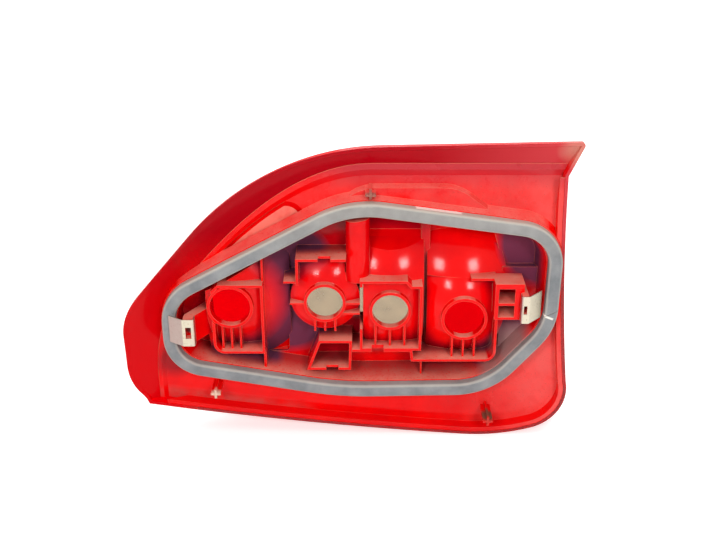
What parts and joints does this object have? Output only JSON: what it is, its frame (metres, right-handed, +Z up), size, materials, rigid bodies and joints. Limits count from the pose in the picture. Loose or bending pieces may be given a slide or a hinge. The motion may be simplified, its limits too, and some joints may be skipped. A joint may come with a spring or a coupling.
{
  "type": "tail light cluster",
  "caption": "Right-hand rear lamp: red lens with clear windows on a red housing with bulb chambers, a gasket loop towards the body and spring clips at both ends.",
  "frame": {"origin": "on the gasket's sealing plane, at the middle of the gasket loop", "axes": "+X to the right seen from the mounting side, +Y from the body panel to the lens, +Z up"},
  "size_m": [0.4022, 0.0978, 0.2878],
  "materials": {
    "red_abs": "moulded gloss, dusty",
    "red_acrylic": "polished, clear red",
    "clear_acrylic": "polished, clear",
    "gasket_foam": "matt foam",
    "clip_steel": "pale plated"
  },
  "bodies": {
    "root": {"rear_housing": "red_abs", "red_lens": "red_acrylic", "indicator_window": "clear_acrylic", "reversing_window": "clear_acrylic", "body_gasket": "gasket_foam", "left_clip": "clip_steel", "right_clip": "clip_steel"}
  },
  "joints": []
}
